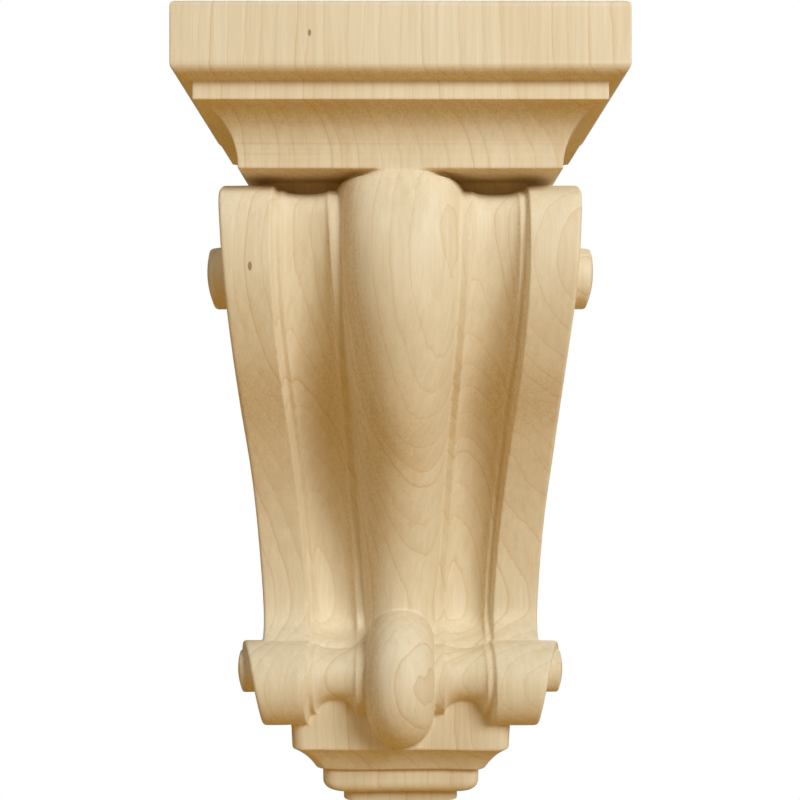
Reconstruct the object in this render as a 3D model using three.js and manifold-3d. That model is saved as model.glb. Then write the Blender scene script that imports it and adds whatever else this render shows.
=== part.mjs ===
// A carved wood corbel, in millimetres. +Z is up, the front faces -Y and the flat back lies in
// the plane y = 0, with the origin at the middle of the back.
//
// From the top: a mitred cap (slab, fillet and cove), a tapering S-shaped shaft that carries two
// flat rails, two flutes and a swelling centre lobe, a scroll on each side at the head, a
// cross roll with a hanging drop at the foot, and a small stepped pendant.
//
// Inside this file a side-view point is (depth, height): the depth out from the wall, and the
// height above or below the underside of the cap.
import * as THREE from 'three';
import { mergeVertices } from 'three/addons/utils/BufferGeometryUtils.js';
import Module from 'manifold-3d';

const wasm = await Module();
wasm.setup();

const { lerp, smoothstep, degToRad } = THREE.MathUtils;

// Cap: slab over fillet over cove, mitred round the front and both sides
const SLAB_WIDTH = 133.4;
const SLAB_DEPTH = 94.5;
const SLAB_HEIGHT = 22;
const SLAB_TOP_ROUND = 2;
const SLAB_FOOT_INSET = 5.6;
const SLAB_FOOT_HEIGHT = 3.7;
const FILLET_HEIGHT = 5.6;
const COVE_INSET = 11.9;
const COVE_HEIGHT = 17.7;

// Shaft: its length runs from the underside of the cap to the crease over the roll. It meets the
// cap only over a seat, so that a thin gap runs round in front of the seat and over its sides.
const SHAFT_LENGTH = 149;
const SHAFT_DEPTH = 74.7;
const SHAFT_TOP_WIDTH = 112.8;
const SHAFT_FOOT_WIDTH = 93.6;
const SHAFT_TAPER_EASE = 1.12;
const RAIL_EDGE_ROUND = 1.2;
const SEAT_WIDTH = 95.6;
const SEAT_DEPTH = 56;
const HEAD_PIVOT_DROP = 30;
const RAIL_INNER_TOP = 39.6;
const RAIL_INNER_FOOT = 31.8;
const RAIL_INNER_FROM = 0.12;
const RAIL_INNER_TO = 1.05;
const STEP_WIDTH = 1.1;
const STEP_DEPTH = 3.4;
const STEP_DEPTH_TOP = 1.6;
const OUTER_FILLET_WIDTH = 1.8;
const INNER_FILLET_WIDTH = 3;
const FLUTE_DEPTH = 4.4;
const FLUTE_DEPTH_TOP = 1.2;
const FLUTE_FULLNESS = 0.6;

// Over the crease the lanes are shallow: the share of their depth that is left there, and the
// shares of the shaft's length and of the roll's turn between which they change
const STEP_LEFT = 0.4;
const FLUTE_LEFT = 0.35;
const LANES_GROWN_AT = 0.25;
const LANES_FADE_FROM = 0.95;
const ROLL_LANES_FROM = 0.22;
const ROLL_LANES_TO = 0.55;

// Centre lobe: its widths between the fillets, how far its crest reaches out, how steep its
// sides get in degrees, and how much fuller than an arc it is under the cap
const LOBE_TOP_WIDTH = 39.6;
const LOBE_FOOT_WIDTH = 23.6;
const LOBE_DEPTH = 84.2;
const LOBE_STEEPEST = 72;
const LOBE_HEAD_FULLNESS = 1.6;

// Head scrolls on the two sides
const HEAD_EYE_DEPTH = 44.8;
const HEAD_EYE_DROP = 28.9;
const HEAD_EYE_RADIUS = 9.8;
const HEAD_EYE_REACH = 7;
const HEAD_SCROLL_RADIUS = 26.4;
const HEAD_SCROLL_RISE = 2;
const HEAD_SCROLL_SINK = 0.4;
const HEAD_SCROLL_TURNS = 1.6;
const HEAD_SCROLL_START = -55;

// Shape of every eye, as shares of its radius
const EYE_EDGE_ROUND = 0.11;
const EYE_DOME = 0.14;
const EYE_SPREAD = 0.06;

// Cross roll at the foot, whose ends flare outwards as they wind in
const ROLL_DEPTH = 29.8;
const ROLL_DROP = 14;
const ROLL_RADIUS = 15.7;
const ROLL_EYE_SHRINK = 6.2;
const ROLL_WIDTH = 92.8;
const ROLL_FLARE = 8.4;
const ROLL_FLARE_FROM = 0.25;
const ROLL_FLARE_TO = 0.85;
const ROLL_WIND_POWER = 2.2;
const ROLL_START = -150;
const ROLL_SWEEP = 345;
const FOOT_EYE_RADIUS = 7.2;
const FOOT_EYE_SINK = 0.9;
const FOOT_EYE_LIFT = 2.4;
const ROLL_HOLLOW = 1.6;
const ROLL_CORE = 3;
const ROLL_RAIL_BOW = 1;
const CREASE_RUN = 10;

// Drop that hangs over the middle of the roll
const DROP_WIDTH = 22.6;
const DROP_REACH = 23.3;
const DROP_LIFT = 0.2;

// Pendant under the roll: neck, cove, ovolo and last fillet
const NECK_WIDTH = 75.2;
const NECK_DEPTH = 33.8;
const NECK_HEIGHT = 8;
const NECK_FOOT_INSET = 0.8;
const PENDANT_CORNER = 4.5;
const PENDANT_COVE_INSET = 7.6;
const PENDANT_COVE_HEIGHT = 8.6;
const PENDANT_COVE_FROM = 35;
const PENDANT_COVE_TO = 62;
const OVOLO_STEP = 2.2;
const OVOLO_HEIGHT = 9.1;
const OVOLO_ROUND = 4.4;
const TIP_INSET = 2.6;
const TIP_HEIGHT = 4.3;

// How finely curves are divided
const SHAFT_STATIONS_PER_SPAN = 4;
const FLUTE_STEPS = 6;
const ROLL_STEPS = 26;
const ARC_STEPS = 6;
const LOBE_SIDE_STEPS = 16;
const LOBE_HEIGHT_STEPS = 22;
const SCROLL_STEPS_PER_TURN = 20;
const EYE_STEPS = 24;
const DROP_STEPS = 28;
const CORNER_STEPS = 3;

// Solids that join run this far into each other
const OVERLAP = 2;

const CAP_HEIGHT = SLAB_HEIGHT + FILLET_HEIGHT + COVE_HEIGHT;
const ROLL_HEIGHT = -SHAFT_LENGTH - ROLL_DROP;
const NECK_TOP = ROLL_HEIGHT - ROLL_CORE * 2;
const NECK_FOOT = ROLL_HEIGHT - ROLL_RADIUS - NECK_HEIGHT;
const PENDANT_FOOT = NECK_FOOT - PENDANT_COVE_HEIGHT - OVOLO_HEIGHT - TIP_HEIGHT;
const TOTAL_HEIGHT = CAP_HEIGHT - PENDANT_FOOT;
const CAP_UNDERSIDE_Z = TOTAL_HEIGHT / 2 - CAP_HEIGHT;
const SIDE_TAPER = Math.atan(
  (SHAFT_TAPER_EASE * (SHAFT_TOP_WIDTH - SHAFT_FOOT_WIDTH)) / 2 / SHAFT_LENGTH,
);

// Side view of the rails, as shares of the shaft's depth and length
const RAIL_LINE = [
  [0.55, -0.0103],
  [0.69, -0.0103],
  [0.83, -0.0142],
  [0.95, -0.043],
  [1, -0.101],
  [1, -0.222],
  [0.865, -0.38],
  [0.605, -0.551],
  [0.415, -0.73],
  [0.33, -0.9],
  [0.34, -0.962],
  [0.425, -1.004],
];

// Side view of the lobe's crest, as shares of the lobe's depth and the shaft's length
const LOBE_LINE = [
  [0.775, 0.094],
  [0.912, 0.002],
  [0.974, -0.1],
  [1, -0.2],
  [0.974, -0.301],
  [0.827, -0.467],
  [0.602, -0.634],
  [0.435, -0.802],
  [0.377, -0.93],
  [0.393, -1.03],
];

const place = (x, depth, height) => new THREE.Vector3(x, -depth, CAP_UNDERSIDE_Z + height);

function sideCurve(shares, depth, length) {
  return new THREE.CatmullRomCurve3(
    shares.map(([out, down]) => new THREE.Vector3(0, out * depth, down * length)),
    false,
    'centripetal',
  );
}

// Turns a mesh the right way out and gives it as a solid
function solid(geometry) {
  const bare = geometry.clone();
  bare.deleteAttribute('normal');
  bare.deleteAttribute('uv');
  const merged = mergeVertices(bare, 1e-4);
  const vertProperties = new Float32Array(merged.attributes.position.array);
  const triVerts = new Uint32Array(merged.index.array);
  const [a, b, c] = [new THREE.Vector3(), new THREE.Vector3(), new THREE.Vector3()];
  let volume = 0;
  for (let i = 0; i < triVerts.length; i += 3) {
    a.fromArray(vertProperties, triVerts[i] * 3);
    b.fromArray(vertProperties, triVerts[i + 1] * 3);
    c.fromArray(vertProperties, triVerts[i + 2] * 3);
    volume += a.dot(b.cross(c));
  }
  if (volume < 0) {
    for (let i = 0; i < triVerts.length; i += 3) {
      [triVerts[i], triVerts[i + 1]] = [triVerts[i + 1], triVerts[i]];
    }
  }
  return new wasm.Manifold(new wasm.Mesh({ numProp: 3, vertProperties, triVerts }));
}

// Joins closed rings of points into one skin. The first and last ring are closed with flat
// faces, laid out by flatten, which gives each point's place in the ring's own plane. A slight
// bulge in that layout keeps points that lie in line from being left out of those faces.
const LAYOUT_BULGE = 5e-4;

function loft(rings, flatten) {
  const layout = (point) => {
    const flat = flatten(point);
    return new THREE.Vector2(flat.x, flat.y - LAYOUT_BULGE * flat.x ** 2);
  };
  const count = rings[0].length;
  const index = [];
  for (let ring = 0; ring < rings.length - 1; ring += 1) {
    for (let i = 0; i < count; i += 1) {
      const near = ring * count + i;
      const next = ring * count + ((i + 1) % count);
      index.push(near, next, near + count);
      index.push(next, next + count, near + count);
    }
  }
  const endFaces = (ring) => THREE.ShapeUtils.triangulateShape(ring.map(layout), []);
  const last = (rings.length - 1) * count;
  const facesUp = (ring) => THREE.ShapeUtils.isClockWise(ring.map(flatten));
  for (const [a, b, c] of endFaces(rings[0])) {
    index.push(...(facesUp(rings[0]) ? [a, b, c] : [a, c, b]));
  }
  for (const [a, b, c] of endFaces(rings[rings.length - 1])) {
    index.push(...(facesUp(rings[rings.length - 1]) ? [last + a, last + c, last + b]
      : [last + a, last + b, last + c]));
  }
  const geometry = new THREE.BufferGeometry();
  const points = rings.flat().flatMap((point) => point.toArray());
  geometry.setAttribute('position', new THREE.Float32BufferAttribute(points, 3));
  geometry.setIndex(index);
  return geometry;
}

// A geometry and its mirror image across the middle plane
function bothSides(geometry) {
  return [geometry, geometry.clone().scale(-1, 1, 1)];
}

// Cap

// Inset and height of each level of the cap, from the top down
function capLevels() {
  const levels = [];
  for (let i = 0; i <= ARC_STEPS / 2; i += 1) {
    const angle = (i / (ARC_STEPS / 2)) * (Math.PI / 2);
    levels.push([SLAB_TOP_ROUND * (1 - Math.sin(angle)),
      CAP_HEIGHT - SLAB_TOP_ROUND * (1 - Math.cos(angle))]);
  }
  const filletTop = CAP_HEIGHT - SLAB_HEIGHT;
  for (let i = 0; i <= ARC_STEPS; i += 1) {
    const angle = (i / ARC_STEPS) * (Math.PI / 2);
    levels.push([SLAB_FOOT_INSET * (1 - Math.cos(angle)),
      filletTop + SLAB_FOOT_HEIGHT * (1 - Math.sin(angle))]);
  }
  for (let i = 0; i <= ARC_STEPS * 2; i += 1) {
    const angle = (i / (ARC_STEPS * 2)) * (Math.PI / 2);
    levels.push([SLAB_FOOT_INSET + COVE_INSET * Math.sin(angle), COVE_HEIGHT * Math.cos(angle)]);
  }
  return levels;
}

function cap() {
  const rings = capLevels().map(([inset, height]) => {
    const half = SLAB_WIDTH / 2 - inset;
    const depth = SLAB_DEPTH - inset;
    return [place(-half, 0, height), place(half, 0, height),
      place(half, depth, height), place(-half, depth, height)];
  });
  return solid(loft(rings, (point) => new THREE.Vector2(point.x, point.y)));
}

// Shaft

const railCurve = sideCurve(RAIL_LINE, SHAFT_DEPTH, SHAFT_LENGTH);
const lobeCurve = sideCurve(LOBE_LINE, LOBE_DEPTH, SHAFT_LENGTH);

// Share of the shaft's length below the cap, which goes a little past both ends
const DOWN_PAST_ENDS = 0.3;

const down = (height) =>
  THREE.MathUtils.clamp(-height / SHAFT_LENGTH, -DOWN_PAST_ENDS, 1 + DOWN_PAST_ENDS);

function shaftHalfWidth(height) {
  const left = Math.max(1 - down(height), 0) ** SHAFT_TAPER_EASE;
  return lerp(SHAFT_FOOT_WIDTH, SHAFT_TOP_WIDTH, left) / 2;
}

function railInner(height) {
  const drawnIn = smoothstep(down(height), RAIL_INNER_FROM, RAIL_INNER_TO);
  return lerp(RAIL_INNER_TOP, RAIL_INNER_FOOT, drawnIn);
}

function lobeHalfWidth(height) {
  return lerp(LOBE_TOP_WIDTH, LOBE_FOOT_WIDTH, down(height)) / 2;
}

// Half of the cross-section from the lobe outwards: [x, how far below the rail] pairs. The
// flute is a shallow arc between two narrow fillets, a step below the rail.
function laneHalf({ foot, inner, step, flute }) {
  const start = foot + INNER_FILLET_WIDTH;
  const end = inner - STEP_WIDTH - OUTER_FILLET_WIDTH;
  const lane = [[foot - OVERLAP, step], [start, step]];
  for (let i = 1; i < FLUTE_STEPS; i += 1) {
    const share = i / FLUTE_STEPS;
    const hollow = (4 * share * (1 - share)) ** FLUTE_FULLNESS;
    lane.push([lerp(start, end, share), step + flute * hollow]);
  }
  lane.push([end, step], [inner - STEP_WIDTH, step], [inner, 0]);
  return lane;
}

function mirrored(half) {
  return [...half.map(([x, sunk]) => [-x, sunk]).reverse(), ...half];
}

// A tapering block with a flat back, between two heights
function taperedBlock(top, foot, depth, halfWidthAt) {
  const rings = [top, foot].map((height) => {
    const half = halfWidthAt(height);
    return [place(-half, 0, height), place(half, 0, height),
      place(half, depth, height), place(-half, depth, height)];
  });
  return solid(loft(rings, (point) => new THREE.Vector2(point.x, point.y)));
}

function shaft() {
  const rings = [];
  const stations = (RAIL_LINE.length - 1) * SHAFT_STATIONS_PER_SPAN;
  for (let i = 0; i <= stations; i += 1) {
    const point = railCurve.getPoint(i / stations);
    const tangent = railCurve.getTangent(i / stations);
    const grown = smoothstep(down(point.z), 0, LANES_GROWN_AT);
    const faded = smoothstep(down(point.z), LANES_FADE_FROM, 1);
    const half = laneHalf({
      foot: lobeHalfWidth(point.z),
      inner: railInner(point.z),
      step: lerp(STEP_DEPTH_TOP, STEP_DEPTH, grown) * lerp(1, STEP_LEFT, faded),
      flute: lerp(FLUTE_DEPTH_TOP, FLUTE_DEPTH, grown) * lerp(1, FLUTE_LEFT, faded),
    });
    const edge = shaftHalfWidth(point.z);
    half.push([edge - RAIL_EDGE_ROUND, 0], [edge + OVERLAP, RAIL_EDGE_ROUND + OVERLAP]);
    const front = mirrored(half).map(([x, sunk]) =>
      place(x, point.y + tangent.z * sunk, point.z - tangent.y * sunk));
    const backHeight = Math.min(point.z, -HEAD_PIVOT_DROP);
    const back = [edge + OVERLAP, -edge - OVERLAP].map((x) => place(x, -OVERLAP, backHeight));
    rings.push([...back, ...front]);
  }
  // Under the cap the lanes start level, behind the back, and turn down about a pivot line
  rings.unshift(rings[0].map((point) => new THREE.Vector3(point.x, OVERLAP, point.z)));
  // The lanes run down into the roll, and behind the roll the shaft goes on as a plain block
  const crease = rings[rings.length - 1];
  const below = (height, depthOf) =>
    crease.map((point) => place(point.x, depthOf(-point.y), height));
  const blockTop = -SHAFT_LENGTH - CREASE_RUN;
  const blockFoot = ROLL_HEIGHT - ROLL_RADIUS + OVERLAP / 2;
  rings.push(below(blockTop, (depth) => depth));
  for (const height of [blockTop - OVERLAP, blockFoot]) {
    rings.push(below(height, (depth) => Math.min(depth, ROLL_DEPTH - OVERLAP)));
  }
  const carved = solid(loft(rings, (point) => new THREE.Vector2(point.x, point.z - point.y)));
  const blank = taperedBlock(OVERLAP, blockFoot, SHAFT_DEPTH + OVERLAP, shaftHalfWidth);
  const shoulder = railCurve.getPoint(0).z;
  const seat = taperedBlock(OVERLAP, shoulder - STEP_DEPTH - FLUTE_DEPTH, SEAT_DEPTH,
    () => SEAT_WIDTH / 2);
  return carved.intersect(blank).add(seat);
}

// Depth of a side curve at a height, between its sampled points
function depthAt(samples, height) {
  const next = samples.findIndex((point) => point.z <= height);
  if (next <= 0) return samples[next === 0 ? 0 : samples.length - 1].y;
  const [above, below] = [samples[next - 1], samples[next]];
  return lerp(above.y, below.y, (above.z - height) / (above.z - below.z));
}

// The lobe is a stack of arcs, each from the fillets on one side to those on the other
function lobe() {
  const samples = lobeCurve.getPoints(LOBE_HEIGHT_STEPS * 4);
  const railSamples = railCurve.getPoints(LOBE_HEIGHT_STEPS * 4);
  const top = samples[0].z;
  const foot = samples[samples.length - 1].z;
  const rings = [];
  for (let i = 0; i <= LOBE_HEIGHT_STEPS; i += 1) {
    const height = lerp(top, foot, i / LOBE_HEIGHT_STEPS);
    const half = lobeHalfWidth(height);
    const crest = depthAt(samples, height);
    const base = Math.min(depthAt(railSamples, height), crest - STEP_DEPTH) - STEP_DEPTH;
    const ring = [place(half, base - OVERLAP, height), place(-half, base - OVERLAP, height)];
    const steep = Math.min(degToRad(LOBE_STEEPEST), 2 * Math.atan((crest - base) / half));
    const fullness = lerp(LOBE_HEAD_FULLNESS, 1, smoothstep(down(height), 0, LANES_GROWN_AT));
    for (let k = 0; k <= LOBE_SIDE_STEPS; k += 1) {
      const angle = steep * ((2 * k) / LOBE_SIDE_STEPS - 1);
      const lowered = (1 - Math.cos(angle)) / (1 - Math.cos(steep));
      const across = (half * Math.sin(angle)) / Math.sin(steep);
      ring.push(place(across, lerp(crest, base, lowered ** fullness), height));
    }
    rings.push(ring);
  }
  return solid(loft(rings, (point) => new THREE.Vector2(point.x, point.y)));
}

// Head scrolls

// A spiral ribbon on the right-hand side: its outer edge winds in towards the eye and rises as
// it goes, and its face falls back a little towards the next turn. Points are (out, depth, up).
// It is made in two lengths of less than a turn, because the ribbon laps over itself.
function scrollRibbon() {
  const steps = Math.round(SCROLL_STEPS_PER_TURN * HEAD_SCROLL_TURNS);
  const middle = steps / 2;
  const start = degToRad(HEAD_SCROLL_START);
  const shrink = HEAD_EYE_RADIUS / HEAD_SCROLL_RADIUS;
  const radiusAt = (share) => HEAD_SCROLL_RADIUS * shrink ** Math.min(share, 1);
  const rings = [];
  for (let i = 0; i <= steps; i += 1) {
    const share = i / steps;
    const angle = start + share * HEAD_SCROLL_TURNS * 2 * Math.PI;
    const outer = radiusAt(share);
    const inner = radiusAt(share + 1 / HEAD_SCROLL_TURNS) - OVERLAP;
    const rise = lerp(-HEAD_SCROLL_SINK, HEAD_SCROLL_RISE, share);
    const section = [[inner, -OVERLAP], [outer, -OVERLAP], [outer, rise],
      [(inner + outer) / 2, rise - HEAD_SCROLL_SINK], [inner, rise]];
    rings.push(section.map(([radius, out]) =>
      new THREE.Vector3(out, -radius * Math.cos(angle), radius * Math.sin(angle))));
  }
  return [rings.slice(0, middle + 2), rings.slice(middle)].map((length) =>
    loft(length, (point) => new THREE.Vector2(point.x, Math.hypot(point.y, point.z))));
}

// An eye: a low button with a softly domed face, turned about the outward axis
function eye(radius, reach, sunk) {
  const round = radius * EYE_EDGE_ROUND;
  const corner = round * (1 - Math.SQRT1_2);
  const dome = radius * EYE_DOME;
  const profile = [[0, -sunk], [radius * (1 + EYE_SPREAD), -sunk], [radius, reach - round],
    [radius - corner, reach - corner], [radius - round, reach],
    [radius / 2, reach + (dome * 3) / 4], [0, reach + dome]];
  const points = profile.map(([across, along]) => new THREE.Vector2(across, along));
  return new THREE.LatheGeometry(points, EYE_STEPS).rotateZ(-Math.PI / 2);
}

// Sets a right-hand piece on the tapering side of the shaft and mirrors it
function onSides(geometry, depth, height, halfWidth) {
  const seat = place(halfWidth, depth, height);
  return bothSides(geometry.rotateY(SIDE_TAPER).translate(seat.x, seat.y, seat.z)).map(solid);
}

function headScrolls() {
  const height = -HEAD_EYE_DROP;
  const half = shaftHalfWidth(height);
  const pieces = [...scrollRibbon(), eye(HEAD_EYE_RADIUS, HEAD_EYE_REACH, OVERLAP * 2)];
  return pieces.flatMap((piece) => onSides(piece, HEAD_EYE_DEPTH, height, half));
}

// Cross roll

// The roll winds once from under the foot, round the front and over the top. Its radius shrinks
// and its ends flare outwards on the way, as a snail shell does.
function roll() {
  const start = degToRad(ROLL_START);
  const sweep = degToRad(ROLL_SWEEP);
  const rings = [];
  for (let i = 0; i <= ROLL_STEPS; i += 1) {
    const share = i / ROLL_STEPS;
    const angle = start + sweep * share;
    const radius = ROLL_RADIUS - ROLL_EYE_SHRINK * share ** ROLL_WIND_POWER;
    const rim = ROLL_WIDTH / 2 + ROLL_FLARE * smoothstep(share, ROLL_FLARE_FROM, ROLL_FLARE_TO);
    const faded = smoothstep(share, ROLL_LANES_FROM, ROLL_LANES_TO);
    const half = laneHalf({
      foot: LOBE_FOOT_WIDTH / 2,
      inner: RAIL_INNER_FOOT - ROLL_RAIL_BOW * (1 - Math.cos(angle)),
      step: STEP_DEPTH * lerp(1, STEP_LEFT, faded),
      flute: FLUTE_DEPTH * lerp(1, FLUTE_LEFT, faded),
    });
    half.push([rim - RAIL_EDGE_ROUND, 0], [rim, RAIL_EDGE_ROUND]);
    half.push([rim - ROLL_HOLLOW, radius / 2], [rim - ROLL_HOLLOW, radius - ROLL_CORE]);
    rings.push(mirrored(half).map(([x, sunk]) => place(
      x,
      ROLL_DEPTH + (radius - sunk) * Math.cos(angle),
      ROLL_HEIGHT + (radius - sunk) * Math.sin(angle),
    )));
  }
  const centre = place(0, ROLL_DEPTH, ROLL_HEIGHT);
  const thick = ROLL_CORE + OVERLAP / 2;
  const core = new THREE.CylinderGeometry(thick, thick, ROLL_WIDTH, EYE_STEPS);
  const wound = loft(rings, (point) =>
    new THREE.Vector2(point.x, Math.hypot(point.y - centre.y, point.z - centre.z)));
  return solid(wound).add(
    solid(core.rotateZ(Math.PI / 2).translate(centre.x, centre.y, centre.z)),
  );
}

function footEyes() {
  const height = ROLL_HEIGHT + FOOT_EYE_LIFT;
  const half = ROLL_WIDTH / 2 + ROLL_FLARE;
  const sunk = ROLL_FLARE + OVERLAP;
  return onSides(eye(FOOT_EYE_RADIUS, -FOOT_EYE_SINK, sunk), ROLL_DEPTH, height, half);
}

// A round bead bent about an axis just above the roll's
function drop() {
  const radius = DROP_WIDTH / 2;
  const bead = new THREE.TorusGeometry(DROP_REACH - radius, radius, EYE_STEPS / 2, DROP_STEPS);
  const centre = place(0, ROLL_DEPTH, ROLL_HEIGHT + DROP_LIFT);
  return solid(bead.rotateY(Math.PI / 2).translate(centre.x, centre.y, centre.z));
}

// Pendant

// Inset and height of each level of the pendant, from the top down
function pendantLevels() {
  const levels = [[0, NECK_TOP], [NECK_FOOT_INSET, NECK_FOOT]];
  const coveFoot = NECK_FOOT - PENDANT_COVE_HEIGHT;
  const [from, to] = [degToRad(PENDANT_COVE_FROM), degToRad(PENDANT_COVE_TO)];
  for (let i = 1; i <= ARC_STEPS; i += 1) {
    const angle = lerp(from, to, i / ARC_STEPS);
    const inwards = (Math.sin(angle) - Math.sin(from)) / (Math.sin(to) - Math.sin(from));
    const downwards = (Math.cos(from) - Math.cos(angle)) / (Math.cos(from) - Math.cos(to));
    levels.push([NECK_FOOT_INSET + PENDANT_COVE_INSET * inwards,
      NECK_FOOT - PENDANT_COVE_HEIGHT * downwards]);
  }
  const ovoloInset = NECK_FOOT_INSET + PENDANT_COVE_INSET + OVOLO_STEP;
  const roundTop = coveFoot - OVOLO_HEIGHT + OVOLO_ROUND;
  levels.push([ovoloInset, coveFoot]);
  for (let i = 0; i <= ARC_STEPS; i += 1) {
    const angle = (i / ARC_STEPS) * (Math.PI / 2);
    levels.push([ovoloInset + OVOLO_ROUND * (1 - Math.cos(angle)),
      roundTop - OVOLO_ROUND * Math.sin(angle)]);
  }
  const tipInset = ovoloInset + OVOLO_ROUND + TIP_INSET;
  levels.push([tipInset, coveFoot - OVOLO_HEIGHT]);
  levels.push([tipInset, PENDANT_FOOT]);
  return levels;
}

function pendant() {
  const rings = pendantLevels().map(([inset, height]) => {
    const half = NECK_WIDTH / 2 - inset;
    const depth = NECK_DEPTH - inset;
    const ring = [place(-half, 0, height), place(half, 0, height)];
    for (const side of [1, -1]) {
      for (let k = 0; k <= CORNER_STEPS; k += 1) {
        const turn = (side > 0 ? k : CORNER_STEPS - k) / CORNER_STEPS;
        const angle = turn * (Math.PI / 2);
        ring.push(place(side * (half - PENDANT_CORNER * (1 - Math.cos(angle))),
          depth - PENDANT_CORNER * (1 - Math.sin(angle)), height));
      }
    }
    return ring;
  });
  return solid(loft(rings, (point) => new THREE.Vector2(point.x, point.y)));
}

// The corbel is carved from one block, so all of these are one solid
function corbel() {
  const parts = [cap(), shaft(), lobe(), ...headScrolls(), roll(), ...footEyes(), drop(),
    pendant()];
  const whole = parts.reduce((sum, part) => sum.add(part));
  const { vertProperties, triVerts } = whole.getMesh();
  const geometry = new THREE.BufferGeometry();
  geometry.setAttribute('position', new THREE.BufferAttribute(vertProperties, 3));
  geometry.setIndex(new THREE.BufferAttribute(triVerts, 1));
  geometry.computeVertexNormals();
  return geometry;
}

const maple = new THREE.MeshStandardMaterial({ color: 0xe0cba4, roughness: 0.55, metalness: 0 });

const body = new THREE.Mesh(corbel(), maple);
body.name = 'corbel';

const model = new THREE.Group();
model.name = 'carved_wood_corbel';
model.add(body);

export default model;
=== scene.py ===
"""A carved maple corbel on a pale studio ground: one block, remeshed from numpy surfaces."""
import math

import bpy
import numpy as np
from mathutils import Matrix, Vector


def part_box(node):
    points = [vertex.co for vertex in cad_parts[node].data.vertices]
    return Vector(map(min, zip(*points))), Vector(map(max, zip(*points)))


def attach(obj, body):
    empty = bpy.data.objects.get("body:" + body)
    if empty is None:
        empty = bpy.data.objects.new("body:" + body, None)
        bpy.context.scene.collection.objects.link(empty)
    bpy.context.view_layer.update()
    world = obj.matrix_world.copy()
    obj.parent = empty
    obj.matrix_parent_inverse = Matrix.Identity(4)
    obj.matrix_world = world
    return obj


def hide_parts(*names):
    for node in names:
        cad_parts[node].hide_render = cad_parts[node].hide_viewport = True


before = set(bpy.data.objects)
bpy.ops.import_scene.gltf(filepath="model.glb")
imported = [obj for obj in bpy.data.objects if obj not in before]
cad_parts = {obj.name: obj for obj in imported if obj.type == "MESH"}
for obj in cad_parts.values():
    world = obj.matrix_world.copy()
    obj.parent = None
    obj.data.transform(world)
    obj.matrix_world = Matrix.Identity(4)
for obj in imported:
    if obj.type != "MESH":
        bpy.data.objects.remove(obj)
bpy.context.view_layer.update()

# The carving is worked out in millimetres, as (x, depth out from the wall, height above or
# below the underside of the cap), and set into the frame's metres at the end
MM = 0.001
BOX_LOW, BOX_HIGH = (np.array(corner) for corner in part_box("corbel"))
SLAB_HALF = BOX_HIGH[0] / MM
SLAB_DEPTH = -BOX_LOW[1] / MM
TOTAL_HEIGHT = (BOX_HIGH[2] - BOX_LOW[2]) / MM

# Cap: slab over fillet over cove
SLAB_HEIGHT = 22.0
SLAB_TOP_ROUND = 2.0
SLAB_FOOT_INSET = 5.6
SLAB_FOOT_HEIGHT = 3.7
FILLET_HEIGHT = 5.6
COVE_INSET = 11.9
COVE_HEIGHT = 17.7
CAP_HEIGHT = SLAB_HEIGHT + FILLET_HEIGHT + COVE_HEIGHT
UNDERSIDE_Z = BOX_HIGH[2] / MM - CAP_HEIGHT

# Shaft and its lanes, from the middle out: lobe, inner fillet, flute, outer fillet, step, rail.
# A span is a pair of shares of the shaft's length, between which something changes.
SHAFT_LENGTH = 149.0
SHAFT_DEPTH = 74.7
SHAFT_HALF_TOP = 56.4
SHAFT_HALF_FOOT = 46.8
SHAFT_TAPER_EASE = 1.12
RAIL_EDGE_ROUND = 1.2
RAIL_INNER_TOP = 39.6
RAIL_INNER_FOOT = 31.8
RAIL_INNER_SPAN = (0.12, 1.05)
STEP_WIDTH = 1.1
STEP_DEPTH = 3.4
STEP_DEPTH_TOP = 1.6
OUTER_FILLET_WIDTH = 1.8
INNER_FILLET_WIDTH = 3.0
FLUTE_DEPTH = 4.4
FLUTE_DEPTH_TOP = 1.2
FLUTE_FULLNESS = 0.6
LANES_GROW_SPAN = (0.0, 0.25)
LANES_FADE_SPAN = (0.95, 1.0)
STEP_LEFT = 0.4
FLUTE_LEFT = 0.35
DOWN_PAST_ENDS = 0.3
SEAT_HALF = 47.8
SEAT_DEPTH = 56.0
LOBE_HALF_TOP = 19.8
LOBE_HALF_FOOT = 11.8
LOBE_DEPTH = 84.2
LOBE_STEEPEST = math.radians(72)
LOBE_HEAD_FULLNESS = 1.6

# Side views as shares: of a depth outwards, and of the shaft's length downwards
RAIL_LINE = [(0.55, -0.0103), (0.69, -0.0103), (0.83, -0.0142), (0.95, -0.043), (1.0, -0.101),
             (1.0, -0.222), (0.865, -0.38), (0.605, -0.551), (0.415, -0.73), (0.33, -0.9),
             (0.34, -0.962), (0.425, -1.004)]
LOBE_LINE = [(0.775, 0.094), (0.912, 0.002), (0.974, -0.1), (1.0, -0.2), (0.974, -0.301),
             (0.827, -0.467), (0.602, -0.634), (0.435, -0.802), (0.377, -0.93), (0.393, -1.03)]

# Head scrolls
HEAD_EYE_DEPTH = 44.8
HEAD_EYE_DROP = 28.9
HEAD_EYE_RADIUS = 9.8
HEAD_EYE_REACH = 7.0
SCROLL_RADIUS = 26.4
SCROLL_RISE = 2.0
SCROLL_SINK = 0.4
SCROLL_TURNS = 1.6
SCROLL_START = math.radians(-55)

# Shape of every eye, as shares of its radius
EYE_EDGE_ROUND = 1 / 9
EYE_DOME = 1 / 7
EYE_SPREAD = 0.06

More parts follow.
